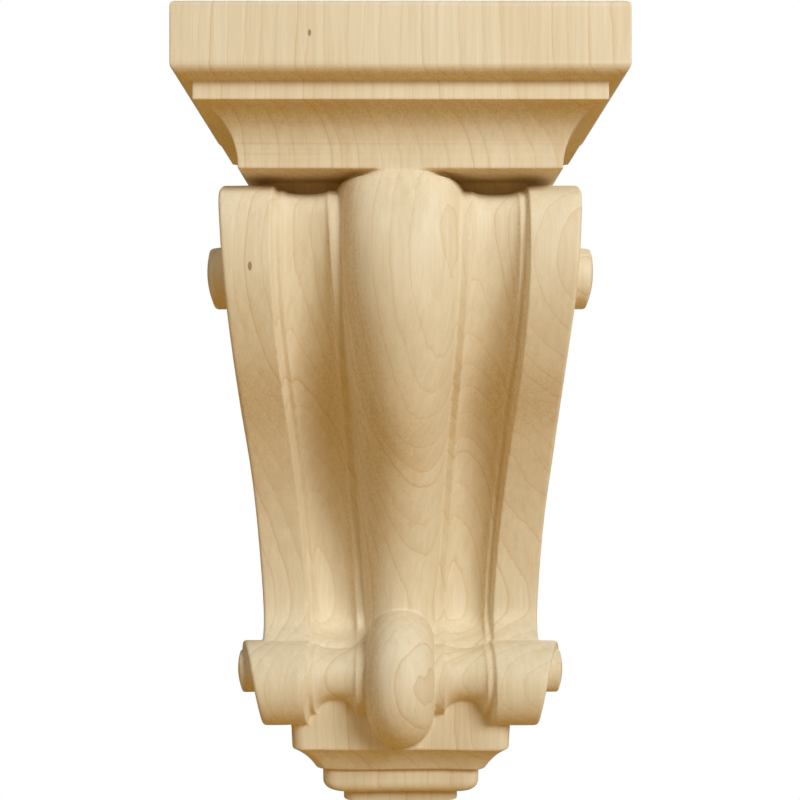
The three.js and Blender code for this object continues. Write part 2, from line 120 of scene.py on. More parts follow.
# Cross roll, its eyes and the drop
ROLL_DEPTH = 29.8
ROLL_DROP = 14.0
ROLL_HEIGHT = -SHAFT_LENGTH - ROLL_DROP
ROLL_RADIUS = 15.7
ROLL_SHRINK = 6.2
ROLL_HALF = 46.4
ROLL_FLARE = 8.4
ROLL_FLARE_SPAN = (0.25, 0.85)
ROLL_LANES_SPAN = (0.22, 0.55)
ROLL_WIND_POWER = 2.2
ROLL_HOLLOW = 1.6
ROLL_CORE = 0.3
CREASE_RUN = 10.0
ROLL_START = math.radians(-150)
ROLL_SWEEP = math.radians(345)
ROLL_RAIL_BOW = 1.0
FOOT_EYE_RADIUS = 7.2
FOOT_EYE_SINK = 0.9
FOOT_EYE_LIFT = 2.4
DROP_RADIUS = 11.3
DROP_REACH = 23.3
DROP_LIFT = 0.2

# Pendant
NECK_HALF = 37.6
NECK_DEPTH = 33.8
NECK_HEIGHT = 8.0
NECK_FOOT_INSET = 0.8
NECK_TOP_DROP = 6.0
PENDANT_CORNER = 4.5
PENDANT_COVE_INSET = 7.6
PENDANT_COVE_HEIGHT = 8.6
PENDANT_COVE_ARC = np.radians((35, 62))
OVOLO_STEP = 2.2
OVOLO_HEIGHT = 9.1
OVOLO_ROUND = 4.4
TIP_INSET = 2.6
PENDANT_FOOT = CAP_HEIGHT - TOTAL_HEIGHT

# Fineness of the carved surface, and how far shells that join run into each other
VOXEL = 0.4
SANDING_PASSES = 1
MOST_TRIANGLES = 190000
OVERLAP = 2.0

# Waver of the carved surface: shortest and longest wave, how many of them, and each one's height
# as a share of its length. It fades out in from the back and up to the cap.
WAVER_LENGTHS = (14.0, 45.0)
WAVER_COUNT = 9
WAVER_SHARE = 0.0016
WAVER_SEED = 12
WAVER_BACK_SPAN = (0.5, 4.0)
WAVER_CAP_SPAN = (2.0, -4.0)

# How far a surface is turned left or down, away from the key light, before it gets painted shade
# specks, from not at all to fully
SHADED_SIDE_SPAN = (0.4, 0.8)

SIDE_TAPER = math.atan(SHAFT_TAPER_EASE * (SHAFT_HALF_TOP - SHAFT_HALF_FOOT) / SHAFT_LENGTH)


# Shapes

def spline(points, count):
    """Centripetal Catmull-Rom: each span is a cubic whose end slopes come from the distances to
    the neighbouring points, raised to the half power. Returns places and unit slopes."""
    points = np.array(points, float)
    first = 2 * points[0] - points[1]
    last = 2 * points[-1] - points[-2]
    run = np.vstack([first, points, last])
    gap = np.linalg.norm(np.diff(run, axis=0), axis=1) ** 0.5
    place = np.linspace(0, len(points) - 1, count)
    span = np.minimum(place.astype(int), len(points) - 2)
    share = (place - span)[:, None]
    p0, p1, p2, p3 = (run[span + k] for k in range(4))
    g0, g1, g2 = (gap[span + k][:, None] for k in range(3))
    slope1 = ((p1 - p0) / g0 - (p2 - p0) / (g0 + g1) + (p2 - p1) / g1) * g1
    slope2 = ((p2 - p1) / g1 - (p3 - p1) / (g1 + g2) + (p3 - p2) / g2) * g1
    cubic = 2 * (p1 - p2) + slope1 + slope2
    square = 3 * (p2 - p1) - 2 * slope1 - slope2
    at = ((cubic * share + square) * share + slope1) * share + p1
    slope = (3 * cubic * share + 2 * square) * share + slope1
    return at, slope / np.linalg.norm(slope, axis=1, keepdims=True)


def smoothstep(value, low, high):
    """Rises from 0 to 1 between low and high, level at both ends."""
    share = np.clip((value - low) / (high - low), 0, 1)
    return share * share * (3 - 2 * share)


def down(height):
    """Share of the shaft's length that lies above a height."""
    share = -np.asarray(height, float) / SHAFT_LENGTH
    return np.clip(share, -DOWN_PAST_ENDS, 1 + DOWN_PAST_ENDS)


def shaft_half(height):
    left = np.maximum(1 - down(height), 0) ** SHAFT_TAPER_EASE
    return SHAFT_HALF_FOOT + (SHAFT_HALF_TOP - SHAFT_HALF_FOOT) * left


def lobe_half(height):
    return LOBE_HALF_TOP + (LOBE_HALF_FOOT - LOBE_HALF_TOP) * down(height)


def rail_inner(height):
    drawn_in = smoothstep(down(height), *RAIL_INNER_SPAN)
    return RAIL_INNER_TOP + (RAIL_INNER_FOOT - RAIL_INNER_TOP) * drawn_in


def lanes(foot, inner, step, flute):
    """Half of the cross-section for every station at once: x across and the depth below the
    rail, both (stations, points). The flute is a shallow arc between two level fillets, and the
    step to the rail is a straight slant."""
    start = foot + INNER_FILLET_WIDTH
    end = inner - STEP_WIDTH - OUTER_FILLET_WIDTH
    share = np.linspace(0, 1, 33)
    hollow = (4 * share * (1 - share)) ** FLUTE_FULLNESS
    across = [foot[:, None] - OVERLAP, start[:, None] + (end - start)[:, None] * share,
              inner[:, None] - STEP_WIDTH, inner[:, None]]
    sunk = [step[:, None], step[:, None] + flute[:, None] * hollow,
            step[:, None], np.zeros((len(foot), 1))]
    return np.hstack(across), np.hstack(sunk)


def mirrored(across, sunk):
    """Puts the left half in front of the right half."""
    return np.hstack([-across[:, ::-1], across]), np.hstack([sunk[:, ::-1], sunk])


def rounded_edge(edge, radius):
    """A quarter circle from the rail's face to its side: x across and depth below the rail."""
    angle = np.linspace(0, math.pi / 2, 7)
    across = edge[:, None] - radius * (1 - np.sin(angle))
    return across, np.broadcast_to(radius * (1 - np.cos(angle)), across.shape)


def shell(rings):
    """A closed mesh from rings of points, (rings, points, 3): quads between neighbouring rings
    and one face on each end ring. Returns vertices and faces."""
    count, size = rings.shape[:2]
    index = np.arange(count * size).reshape(count, size)
    near, far = index[:-1], index[1:]
    quads = np.stack([near, np.roll(near, -1, 1), np.roll(far, -1, 1), far], -1).reshape(-1, 4)
    ends = [index[0, ::-1].tolist(), index[-1].tolist()]
    return rings.reshape(-1, 3), quads.tolist() + ends


def ring(across, depth, height):
    """Stacks x, depth and height arrays into points."""
    return np.stack(np.broadcast_arrays(across, depth, height), -1)


def cap():
    """Rectangles whose inset from the slab follows a rounded edge, a roundover, a fillet and a
    quarter-ellipse cove, from the top down."""
    quarter = np.linspace(0, math.pi / 2, 40)
    inset = np.concatenate([
        SLAB_TOP_ROUND * (1 - np.sin(quarter)),
        SLAB_FOOT_INSET * (1 - np.cos(quarter)),
        SLAB_FOOT_INSET + COVE_INSET * np.sin(quarter),
    ])
    height = np.concatenate([
        CAP_HEIGHT - SLAB_TOP_ROUND * (1 - np.cos(quarter)),
        CAP_HEIGHT - SLAB_HEIGHT + SLAB_FOOT_HEIGHT * (1 - np.sin(quarter)),
        COVE_HEIGHT * np.cos(quarter),
    ])
    half, depth = SLAB_HALF - inset, SLAB_DEPTH - inset
    back = np.zeros_like(half)
    return shell(ring(np.stack([-half, half, half, -half], 1),
                      np.stack([back, back, depth, depth], 1), height[:, None]))


def shaft():
    """The lanes' cross-section carried down the rail's side view, sunk square to it, with flat
    tapering sides and a flat back. Below the crease it runs on behind the roll."""
    at, slope = spline(np.array(RAIL_LINE) * (SHAFT_DEPTH, SHAFT_LENGTH), 420)
    depth, height = at.T
    grown = smoothstep(down(height), *LANES_GROW_SPAN)
    faded = smoothstep(down(height), *LANES_FADE_SPAN)
    step = STEP_DEPTH_TOP + (STEP_DEPTH - STEP_DEPTH_TOP) * grown
    flute = FLUTE_DEPTH_TOP + (FLUTE_DEPTH - FLUTE_DEPTH_TOP) * grown
    across, sunk = lanes(lobe_half(height), rail_inner(height),
                         step * (1 - (1 - STEP_LEFT) * faded),
                         flute * (1 - (1 - FLUTE_LEFT) * faded))
    edge, edge_sunk = rounded_edge(shaft_half(height), RAIL_EDGE_ROUND)
    across, sunk = mirrored(np.hstack([across, edge]), np.hstack([sunk, edge_sunk]))
    front = ring(across, depth[:, None] + slope[:, 1:] * sunk,
                 height[:, None] - slope[:, :1] * sunk)
    half = shaft_half(height)
    sides = ring(np.stack([half, -half], 1), 0.0, height[:, None])
    rings = np.concatenate([sides, front], 1)
    crease = rings[-1]
    run_foot = -SHAFT_LENGTH - CREASE_RUN
    foot = ROLL_HEIGHT - ROLL_RADIUS + OVERLAP / 2
    covered = ROLL_DEPTH - OVERLAP
    behind = []
    for level, deepest in ((run_foot, SHAFT_DEPTH), (run_foot - OVERLAP, covered), (foot, covered)):
        lower = crease.copy()
        lower[:, 0] *= shaft_half(level) / shaft_half(crease[0, 2])
        lower[:, 1] = np.minimum(lower[:, 1], deepest)
        lower[:, 2] = level
        behind.append(lower)
    return shell(np.concatenate([rings, np.array(behind)]))


def lobe():
    """A stack of arcs: each is as wide as the lobe's foot line at its height, and falls from the
    crest's side view to the fillets as 1 - cos(angle) does, raised to a power above 1 under the
    cap, where the front is flatter and the sides are steeper."""
    crest_line, _ = spline(np.array(LOBE_LINE) * (LOBE_DEPTH, SHAFT_LENGTH), 600)
    rail_line, _ = spline(np.array(RAIL_LINE) * (SHAFT_DEPTH, SHAFT_LENGTH), 600)
    height = np.linspace(crest_line[0, 1], crest_line[-1, 1], 320)
    crest = np.interp(-height, -crest_line[:, 1], crest_line[:, 0])
    rail = np.interp(-height, -rail_line[:, 1], rail_line[:, 0])
    base = np.minimum(rail, crest - STEP_DEPTH) - STEP_DEPTH
    half = lobe_half(height)[:, None]
    rise = (crest - base)[:, None]
    steep = np.minimum(LOBE_STEEPEST, 2 * np.arctan(rise / half))
    angle = np.linspace(-1, 1, 97) * steep
    grown = smoothstep(down(height), *LANES_GROW_SPAN)[:, None]
    fullness = LOBE_HEAD_FULLNESS + (1 - LOBE_HEAD_FULLNESS) * grown
    lowered = ((1 - np.cos(angle)) / (1 - np.cos(steep))) ** fullness
    front = ring(half * np.sin(angle) / np.sin(steep), crest[:, None] - rise * lowered,
                 height[:, None])
    back = ring(np.hstack([half, -half]), (base - OVERLAP)[:, None], height[:, None])
    return shell(np.concatenate([back, front], 1))


def seat():
    """The plain block where the shaft meets the underside of the cap."""
    low = RAIL_LINE[0][1] * SHAFT_LENGTH - STEP_DEPTH - FLUTE_DEPTH
    corners = ring(np.array([-SEAT_HALF, SEAT_HALF, SEAT_HALF, -SEAT_HALF]),
                   np.array([0, 0, SEAT_DEPTH, SEAT_DEPTH]), 0.0)
    rings = np.array([corners, corners])
    rings[0, :, 2] = OVERLAP
    rings[1, :, 2] = low
    return shell(rings)


def scroll_ribbon():
    """A spiral ribbon in its own (outwards, depth, up) frame. Its outer edge winds in by equal
    shares and rises evenly, and its face dips in a shallow hollow towards the next turn."""
    share = np.linspace(0, 1, 260)
    angle = SCROLL_START + share * SCROLL_TURNS * 2 * math.pi
    shrink = HEAD_EYE_RADIUS / SCROLL_RADIUS
    outer = SCROLL_RADIUS * shrink ** share
    inner = SCROLL_RADIUS * shrink ** np.minimum(share + 1 / SCROLL_TURNS, 1) - OVERLAP
    rise = -SCROLL_SINK + (SCROLL_RISE + SCROLL_SINK) * share
    across = np.linspace(0, 1, 15)
    radius = np.concatenate([[inner, outer], outer + (inner - outer) * across[:, None]]).T
    hollow = SCROLL_SINK * 4 * across * (1 - across)
    out = np.hstack([np.full((len(share), 2), -OVERLAP), rise[:, None] - hollow])
    return shell(ring(out, radius * np.cos(angle)[:, None], radius * np.sin(angle)[:, None]))


def eye(radius, reach, sunk):
    """A low button in the (outwards, depth, up) frame: a slightly tapered side, a rounded rim
    and a shallow dome, turned about the outward axis."""
    turn = np.linspace(0, math.pi / 2, 9)
    rounding = radius * EYE_EDGE_ROUND
    dome = radius * EYE_DOME
    across = np.concatenate([[radius * (1 + EYE_SPREAD)], radius - rounding * (1 - np.cos(turn)),
                             np.linspace(radius - rounding, 0.2, 10)[1:]])
    along = np.concatenate([[-sunk], reach - rounding * (1 - np.sin(turn)),
                            reach + dome * (1 - np.linspace(1, 0, 10)[1:] ** 2)])
    angle = np.linspace(0, 2 * math.pi, 97)[:-1]
    return shell(ring(along[:, None], across[:, None] * np.cos(angle),
                      across[:, None] * np.sin(angle)))


def on_side(piece, side, depth, height, half):
    """Lays a piece made in the (outwards, depth, up) frame on the tapering side of the shaft."""
    points, faces = piece
    out, deep, up = points.T
    across = half + out * math.cos(SIDE_TAPER) + up * math.sin(SIDE_TAPER)
    rise = up * math.cos(SIDE_TAPER) - out * math.sin(SIDE_TAPER)
    if side < 0:
        faces = [face[::-1] for face in faces]
    return np.stack([side * across, depth + deep, height + rise], 1), faces


def roll():
    """The lanes' cross-section wound once about the roll's axis, from under the foot over the
    front to the top. The radius shrinks with a power of the turn's share, and the ends flare
    outwards by a smooth step of it, as a snail shell does."""
    share = np.linspace(0, 1, 300)
    angle = (ROLL_START + ROLL_SWEEP * share)[:, None]
    radius = (ROLL_RADIUS - ROLL_SHRINK * share ** ROLL_WIND_POWER)[:, None]
    rim = ROLL_HALF + ROLL_FLARE * smoothstep(share, *ROLL_FLARE_SPAN)
    faded = smoothstep(share, *ROLL_LANES_SPAN)
    inner = RAIL_INNER_FOOT - ROLL_RAIL_BOW * (1 - np.cos(angle[:, 0]))
    across, sunk = lanes(np.full_like(share, LOBE_HALF_FOOT), inner,
                         STEP_DEPTH * (1 - (1 - STEP_LEFT) * faded),
                         FLUTE_DEPTH * (1 - (1 - FLUTE_LEFT) * faded))
    edge, edge_sunk = rounded_edge(rim, RAIL_EDGE_ROUND)
    face = np.linspace(0, 1, 9)[1:]
    hollow = rim[:, None] - ROLL_HOLLOW * np.sin(face * math.pi / 2)
    face_sunk = RAIL_EDGE_ROUND + (radius - RAIL_EDGE_ROUND - ROLL_CORE) * face
    across, sunk = mirrored(np.hstack([across, edge, hollow]),
                            np.hstack([sunk, edge_sunk, face_sunk]))
    return shell(ring(across, ROLL_DEPTH + (radius - sunk) * np.cos(angle),
                      ROLL_HEIGHT + (radius - sunk) * np.sin(angle)))


def drop():
    """A bead of round section bent about the roll's axis: a torus that runs from behind the lobe
    to below the roll."""
    turn = np.linspace(0, 2 * math.pi, 161)[:, None]
    tube = np.linspace(0, 2 * math.pi, 97)[:-1]
    radius = DROP_REACH - DROP_RADIUS + DROP_RADIUS * np.cos(tube)
    return shell(ring(DROP_RADIUS * np.sin(tube), ROLL_DEPTH + radius * np.cos(turn),
                      ROLL_HEIGHT + DROP_LIFT + radius * np.sin(turn)))


def pendant():
    """Rectangles with rounded front corners whose inset follows a tapered neck, a cove, an ovolo
    and a last fillet, from the top down."""
    quarter = np.linspace(0, math.pi / 2, 24)
    neck_foot = ROLL_HEIGHT - ROLL_RADIUS - NECK_HEIGHT
    cove_foot = neck_foot - PENDANT_COVE_HEIGHT
    ovolo_foot = cove_foot - OVOLO_HEIGHT
    ovolo_inset = NECK_FOOT_INSET + PENDANT_COVE_INSET + OVOLO_STEP
    tip_inset = ovolo_inset + OVOLO_ROUND + TIP_INSET
    bend = np.linspace(*PENDANT_COVE_ARC, 24)
    inwards = (np.sin(bend) - np.sin(bend[0])) / (np.sin(bend[-1]) - np.sin(bend[0]))
    downwards = (np.cos(bend[0]) - np.cos(bend)) / (np.cos(bend[0]) - np.cos(bend[-1]))
    inset = np.concatenate([
        [0], NECK_FOOT_INSET + PENDANT_COVE_INSET * inwards,
        ovolo_inset + OVOLO_ROUND * (1 - np.cos(quarter)), [tip_inset, tip_inset],
    ])
    height = np.concatenate([
        [ROLL_HEIGHT - NECK_TOP_DROP], neck_foot - PENDANT_COVE_HEIGHT * downwards,
        ovolo_foot + OVOLO_ROUND * (1 - np.sin(quarter)), [ovolo_foot, PENDANT_FOOT],
    ])
    # The ovolo starts with a short upright side above its round
    inset = np.insert(inset, 1 + len(quarter), ovolo_inset)
    height = np.insert(height, 1 + len(quarter), cove_foot)
    corner = np.linspace(0, math.pi / 2, 13)
    out = PENDANT_CORNER * (1 - np.cos(corner))
    deep = PENDANT_CORNER * (1 - np.sin(corner))
    half = (NECK_HALF - inset)[:, None]
    depth = (NECK_DEPTH - inset)[:, None]
    across = np.hstack([-half, half, half - out, -(half - out)[:, ::-1]])
    back = np.zeros_like(half)
    depths = np.hstack([back, back, depth - deep, (depth - deep)[:, ::-1]])
    return shell(ring(across, depths, height[:, None]))


def carving():
    """Every part of the carving as one list of closed shells, which run into each other."""
    shells = [cap(), shaft(), lobe(), seat(), roll(), drop(), pendant()]
    head = -HEAD_EYE_DROP
    foot = ROLL_HEIGHT + FOOT_EYE_LIFT
    head_eye = eye(HEAD_EYE_RADIUS, HEAD_EYE_REACH, 2 * OVERLAP)
    foot_eye = eye(FOOT_EYE_RADIUS, -FOOT_EYE_SINK, ROLL_FLARE + OVERLAP)
    for side in (1, -1):
        head_seat = (side, HEAD_EYE_DEPTH, head, float(shaft_half(head)))
        foot_seat = (side, ROLL_DEPTH, foot, ROLL_HALF + ROLL_FLARE)
        shells.append(on_side(scroll_ribbon(), *head_seat))
        shells.append(on_side(head_eye, *head_seat))
        shells.append(on_side(foot_eye, *foot_seat))
    return shells


def mesh_from_shells(name, shells):
    """Joins shells into one mesh in the frame's metres."""
    points, faces, start = [], [], 0
    for vertices, polygons in shells:
        points.append(vertices)
        faces += [[start + i for i in polygon] for polygon in polygons]
        start += len(vertices)
    across, depth, height = np.concatenate(points).T
    places = np.stack([across, -depth, UNDERSIDE_Z + height], 1) * MM
    mesh = bpy.data.meshes.new(name)
    mesh.from_pydata(places.tolist(), [], faces)
    mesh.update()
    return mesh


def apply_modifiers(piece):
    """Replaces a piece's mesh by what its modifiers make of it."""
    graph = bpy.context.evaluated_depsgraph_get()
    made = bpy.data.meshes.new_from_object(piece.evaluated_get(graph), depsgraph=graph)
    piece.modifiers.clear()
    old = piece.data
    piece.data = made
    bpy.data.meshes.remove(old)


def hand_waver(places):
    """Low swells and dips left by carving and sanding, as a height in metres: a sum of sine
    waves in seeded directions, with less change along the fibres than across them."""
    rng = np.random.default_rng(WAVER_SEED)
    height = np.zeros(len(places))
    for length in np.geomspace(*WAVER_LENGTHS, WAVER_COUNT) * MM:
        direction = rng.normal(size=3) * (1, 1, 0.5)
        direction /= np.linalg.norm(direction)
        height += length * np.sin(places @ direction * 2 * math.pi / length + rng.uniform(0, 6.28))
    return height * WAVER_SHARE


def mark_shaded_sides(mesh):
    """The share of painted shade at each point: it grows from 0 where the surface faces the front
    to 1 where it is turned well to the left or down, away from the key light; there dark specks are
    painted as shade."""
    normals = np.empty(len(mesh.vertices) * 3)
    mesh.vertices.foreach_get("normal", normals)
    aside, _, up = normals.reshape(-1, 3).T
    turned = smoothstep(np.hypot(np.minimum(aside, 0), np.minimum(up, 0)), *SHADED_SIDE_SPAN)
    mesh.attributes.new("shaded_side", "FLOAT", "POINT").data.foreach_set("value", turned)


def carved_block():
    """One skin over all the shells, with its arrises sanded soft and the carved surface a
    little wavy. The cap and the back are left flat."""
    piece = bpy.data.objects.new("corbel_carving", mesh_from_shells("corbel_carving", carving()))
    bpy.context.collection.objects.link(piece)
    skin = piece.modifiers.new("skin", "REMESH")
    skin.mode = "VOXEL"
    skin.voxel_size = VOXEL * MM
    apply_modifiers(piece)
    sanding = piece.modifiers.new("sanding", "SMOOTH")
    sanding.factor = 0.5
    sanding.iterations = SANDING_PASSES
    apply_modifiers(piece)
    mesh = piece.data
    count = len(mesh.vertices)
    places = np.empty(count * 3)
    normals = np.empty(count * 3)
    mesh.vertices.foreach_get("co", places)
    mesh.vertices.foreach_get("normal", normals)
    places = places.reshape(-1, 3)
    normals = normals.reshape(-1, 3)
    out, up = -places[:, 1] / MM, places[:, 2] / MM - UNDERSIDE_Z
    lift = hand_waver(places) * smoothstep(out, *WAVER_BACK_SPAN) * smoothstep(up, *WAVER_CAP_SPAN)
    places = places + normals * lift[:, None]
    mesh.vertices.foreach_set("co", places.ravel())
    triangles = sum(len(polygon.vertices) - 2 for polygon in mesh.polygons)
    thin = piece.modifiers.new("thin", "DECIMATE")
    thin.ratio = min(1.0, MOST_TRIANGLES / triangles)
    apply_modifiers(piece)
    piece.data.shade_smooth()
    # Painted shade: marks the sides turned left or down, away from the key light, for dark specks
    mark_shaded_sides(piece.data)
    return piece


# Camera: level, square on and half way up, with the view raised to centre the object

CAMERA_DISTANCE = 0.4545
CAMERA_LIFT = 0.0016
LENS = 56.25
SENSOR = 36
PHOTO_PIXELS = 800
HORIZON_PIXELS_BELOW_CENTRE = 34
MIDDLE_PIXELS_RIGHT_OF_CENTRE = 0.5
camera_data = bpy.data.cameras.new("camera")
camera_data.lens = LENS
camera_data.sensor_width = SENSOR
camera_data.shift_y = HORIZON_PIXELS_BELOW_CENTRE / PHOTO_PIXELS
camera_data.shift_x = -MIDDLE_PIXELS_RIGHT_OF_CENTRE / PHOTO_PIXELS
camera = bpy.data.objects.new("camera", camera_data)
camera.location = (0, -CAMERA_DISTANCE, CAMERA_LIFT)
camera.rotation_euler = (math.pi / 2, 0, 0)
bpy.context.collection.objects.link(camera)
bpy.context.scene.camera = camera
bpy.context.scene.view_settings.view_transform = "Standard"


# Maple

def add(tree, kind, inputs=(), **settings):
    """Adds a node, sets its properties, and sets or links its inputs by name or number."""
    made = tree.nodes.new(kind)
    for key, value in settings.items():
        setattr(made, key, value)
    for key, value in dict(inputs).items():
        if isinstance(value, bpy.types.NodeSocket):
            tree.links.new(value, made.inputs[key])
        else:
            made.inputs[key].default_value = value
    return made


def maths(tree, operation, first, second=0.0, third=0.0):
    """The result of one sum, where each term is a socket or a number."""
    made = add(tree, "ShaderNodeMath", {0: first, 1: second, 2: third}, operation=operation)
    return made.outputs[0]


def noise(tree, where, scale, detail=2.0, roughness=0.5):
    """Soft noise from 0 to 1, whose patches are about 1 / scale metres wide."""
    made = add(tree, "ShaderNodeTexNoise", {"Vector": where, "Scale": scale, "Detail": detail,
                                            "Roughness": roughness})
    return made.outputs["Fac"]


def stretched(tree, where, along, turn=(0, 0, 0), shift=(0, 0, 0)):
    """The place scaled, turned and shifted. A scale under 1 draws a pattern out along an axis."""
    made = add(tree, "ShaderNodeMapping", {"Vector": where, "Scale": along, "Rotation": turn,
                                           "Location": shift})
    return made.outputs[0]


def new_group(name, inputs, outputs):
    """An empty shader group with float inputs and outputs, and a vector input called Place."""
    tree = bpy.data.node_groups.new(name, "ShaderNodeTree")
    tree.interface.new_socket("Place", in_out="INPUT", socket_type="NodeSocketVector")
    for key, value in inputs.items():
        socket = tree.interface.new_socket(key, in_out="INPUT", socket_type="NodeSocketFloat")
        socket.default_value = value
    for key in outputs:
        tree.interface.new_socket(key, in_out="OUTPUT", socket_type="NodeSocketFloat")
    return tree, tree.nodes.new("NodeGroupInput"), tree.nodes.new("NodeGroupOutput")


# The pith of the tree, beside and in front of the block, and how far its rings lean with height
PITH = (0.1, -0.15)
RING_LEAN = 0.06

# Small swellings of the rings: place, size across and upwards, and how many rings high. Each
# shows as an oval figure.
SWELLINGS = [
    ((0.0125, -0.083, 0.0435), 0.0042, 0.0085, 0.9),
    ((0.040, -0.050, -0.012), 0.009, 0.017, 1.6),
    ((-0.030, -0.066, 0.008), 0.006, 0.014, 0.8),
    ((0.004, -0.047, -0.082), 0.005, 0.012, 0.8),
    ((-0.050, -0.030, -0.060), 0.008, 0.02, 1.1),
]

# Dark mineral flecks: place and half height
FLECKS = [((-0.0457, -0.0735, 0.0526), 0.0013), ((-0.0262, -0.0945, 0.1172), 0.0009)]


def growth_rings():
    """Growth rings: the distance from the pith, swollen at a few places as
    exp(-(distance from the place)^2), bent by slow noise, wobbled by fine noise and cut into
    uneven bands, each closed by a thin late-wood line of its own strength."""
    tree, source, out = new_group("growth_rings", {"Spacing": 0.0046, "Bend": 0.012,
                                                   "Wobble": 0.002}, ["Line", "Band"])
    where = source.outputs["Place"]
    leaning = stretched(tree, where, (1, 1, RING_LEAN), (0.05, -0.03, 0), (-PITH[0], -PITH[1], 0))
    flat = add(tree, "ShaderNodeVectorMath", {0: leaning, 1: (1, 1, 0)}, operation="MULTIPLY")
    length = add(tree, "ShaderNodeVectorMath", {0: flat.outputs[0]}, operation="LENGTH")
    slow = noise(tree, stretched(tree, where, (1, 1, 0.35)), 20, 1.0, 0.4)
    fine = noise(tree, stretched(tree, where, (1, 1, 0.45)), 150, 3.0, 0.5)
    bent = maths(tree, "MULTIPLY_ADD", slow, source.outputs["Bend"], length.outputs["Value"])
    bent = maths(tree, "MULTIPLY_ADD", fine, source.outputs["Wobble"], bent)
    turns = maths(tree, "DIVIDE", bent, source.outputs["Spacing"])
    for centre, across, upwards, rings in SWELLINGS:
        away = add(tree, "ShaderNodeVectorMath", {0: where, 1: centre}, operation="SUBTRACT")
        scaled = add(tree, "ShaderNodeVectorMath",
                     {0: away.outputs[0], 1: (1 / across, 1 / across, 1 / upwards)},
                     operation="MULTIPLY")
        squared = add(tree, "ShaderNodeVectorMath", {0: scaled.outputs[0], 1: scaled.outputs[0]},
                      operation="DOT_PRODUCT")
        swell = maths(tree, "EXPONENT", maths(tree, "MULTIPLY", squared.outputs["Value"], -1.0))
        turns = maths(tree, "MULTIPLY_ADD", swell, rings, turns)
    uneven = noise(tree, add(tree, "ShaderNodeCombineXYZ", {0: turns}).outputs[0], 0.9, 1.0)
    count = maths(tree, "MULTIPLY_ADD", uneven, 1.6, turns)
    band = maths(tree, "FRACT", count)
    strength = add(tree, "ShaderNodeTexWhiteNoise", {"W": maths(tree, "FLOOR", count)},
                   noise_dimensions="1D")
    strong = maths(tree, "MULTIPLY_ADD", strength.outputs["Value"], 0.75, 0.25)
    line = maths(tree, "MULTIPLY", maths(tree, "POWER", band, 14.0), strong)
    tree.links.new(line, out.inputs["Line"])
    tree.links.new(band, out.inputs["Band"])
    return tree


def fleck_mask(tree, where):
    """1 inside the dark flecks and 0 outside, with a soft edge."""
    mask = 0.0
    for centre, half_height in FLECKS:
        away = add(tree, "ShaderNodeVectorMath", {0: where, 1: centre}, operation="SUBTRACT")
        scaled = add(tree, "ShaderNodeVectorMath",
                     {0: away.outputs[0],
                      1: (2.2 / half_height, 0.3 / half_height, 1 / half_height)},
                     operation="MULTIPLY")
        length = add(tree, "ShaderNodeVectorMath", {0: scaled.outputs[0]}, operation="LENGTH")
        inside = maths(tree, "SUBTRACT", 1.3, length.outputs["Value"])
        mask = maths(tree, "MAXIMUM", maths(tree, "MULTIPLY", inside, 2.5), mask)
    return maths(tree, "MINIMUM", mask, 1.0)


def mixed(tree, share, first, second):
    """A colour mix, where each colour is a socket or four numbers."""
    made = add(tree, "ShaderNodeMix", data_type="RGBA", blend_type="MIX")
    for slot, value in ((0, share), (6, first), (7, second)):
        if isinstance(value, bpy.types.NodeSocket):
            tree.links.new(value, made.inputs[slot])
        else:
            made.inputs[slot].default_value = value
    return made.outputs[2]


